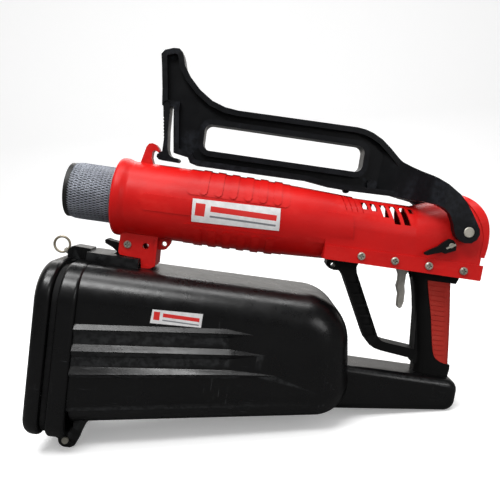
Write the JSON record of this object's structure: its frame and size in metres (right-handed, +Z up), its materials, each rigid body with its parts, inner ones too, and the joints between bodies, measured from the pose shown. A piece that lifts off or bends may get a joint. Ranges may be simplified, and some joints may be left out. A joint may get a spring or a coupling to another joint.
{
  "type": "thermal fogger",
  "caption": "Hand-held gas thermal fogger with folding shoulder stock, pistol grip, hinged-lid tank case and expanded-metal muzzle guard.",
  "frame": {"origin": "centre of the fog outlet mouth at the front of the muzzle tube", "axes": "+X rearward and level, +Z up, +Y to the operator's right; the part stands on its lid hinge lugs and on the rear edge of the case tail, with the barrel nose-up"},
  "size_m": [0.4742, 0.132, 0.3939],
  "materials": {
    "red_abs": "satin moulded red, fine speckle",
    "black_stock": "matt glass-filled black with a slight blue cast",
    "black_grip": "matt black",
    "insert_rubber": "matt brick red, ribbed",
    "case_plastic": "blow-moulded black, scuffed satin",
    "zinc_steel": "zinc plated",
    "guard_steel": "expanded sheet, dull",
    "black_steel": "heat-proof black",
    "stainless": "heat stained stainless",
    "cast_grey": "shot-blasted casting",
    "brass": "turned",
    "seal_rubber": "matt seal",
    "spring_steel": "spring wire",
    "hose_rubber": "matt hose",
    "clear_bottle": "translucent white polyethylene",
    "cylinder_paint": "plain painted tin",
    "label_film": "blank white film"
  },
  "bodies": {
    "frame": {"barrel_shell_left": "red_abs", "barrel_shell_right": "red_abs", "rear_cover": "red_abs", "nozzle_guard": "guard_steel", "outlet_tube": "black_steel", "front_flange": "stainless", "rear_flange": "stainless", "heat_shield": "stainless", "combustion_tube": "stainless", "vapour_coil": "stainless", "fog_tip": "brass", "burner_head": "brass", "igniter_electrode": "stainless", "piezo_igniter": "black_grip", "gas_valve_body": "brass", "pump_body": "brass", "plunger_spring": "spring_steel", "grip_left": "black_grip", "grip_right": "black_grip", "grip_insert": "insert_rubber", "trigger_pin": "zinc_steel", "strip_screws_left": "zinc_steel", "strip_screws_right": "zinc_steel", "bracket_screw": "zinc_steel", "pivot_bolt_left": "zinc_steel", "pivot_bolt_right": "zinc_steel", "tank_body": "case_plastic", "lid_gasket": "seal_rubber", "lid_hinge_pin": "zinc_steel", "clamp_pin": "zinc_steel", "gas_cylinder": "cylinder_paint", "cylinder_regulator": "brass", "chemical_bottle": "clear_bottle", "bottle_cap": "black_grip", "suction_tube": "hose_rubber", "gas_hose": "hose_rubber", "case_label": "label_film", "barrel_label": "label_film"},
    "stock": {"shoulder_stock": "black_stock"},
    "latch_finger": {"stock_latch": "black_stock"},
    "gas_tap": {"gas_lever": "black_grip", "valve_spindle": "zinc_steel"},
    "trigger_body": {"trigger": "cast_grey"},
    "plunger_body": {"pump_plunger": "zinc_steel"},
    "clamp": {"clamp_lever": "black_grip"},
    "lid": {"tank_lid": "case_plastic"},
    "lid_latch": {"latch_pin": "zinc_steel"},
    "ring": {"pull_ring": "zinc_steel"}
  },
  "joints": [
    {"name": "stock_fold", "type": "hinge", "parent": "frame", "child": "stock", "pos_m": [0.39191, 0, -0.07378], "axis": [0, 1, 0], "range_deg": [0, 165]},
    {"name": "catch_flex", "type": "hinge", "parent": "stock", "child": "latch_finger", "pos_m": [0.1094, 0, 0.07616], "axis": [0, -1, 0], "range_deg": [0, 4]},
    {"name": "gas_turn", "type": "hinge", "parent": "frame", "child": "gas_tap", "pos_m": [0.37681, 0, -0.08602], "axis": [0, -1, 0], "range_deg": [0, 80]},
    {"name": "trigger_pull", "type": "hinge", "parent": "frame", "child": "trigger_body", "pos_m": [0.34664, 0, -0.10581], "axis": [0, -1, 0], "range_deg": [0, 13]},
    {"name": "pump_stroke", "type": "slide", "parent": "frame", "child": "plunger_body", "axis": [-0.9749, 0, 0.2226], "range_m": [0, 0.0042], "deforming": ["plunger_spring"]},
    {"name": "clamp_lift", "type": "hinge", "parent": "frame", "child": "clamp", "pos_m": [0.05007, 0, -0.06374], "axis": [0, 1, 0], "range_deg": [0, 10]},
    {"name": "lid_open", "type": "hinge", "parent": "frame", "child": "lid", "pos_m": [-0.02485, 0, -0.25486], "axis": [0, -1, 0], "range_deg": [0, 100]},
    {"name": "latch_pull", "type": "slide", "parent": "lid", "child": "lid_latch", "axis": [-0.9749, 0, 0.2226], "range_m": [0, 0.014]},
    {"name": "ring_swing", "type": "hinge", "parent": "lid_latch", "child": "ring", "pos_m": [-0.01229, 0, -0.06325], "axis": [0.8468, 0, 0.532], "range_deg": [-45, 45]}
  ],
  "couplings": [
    {"joint": "pump_stroke", "follows": "trigger_pull", "m_per_rad": 0.018}
  ]
}
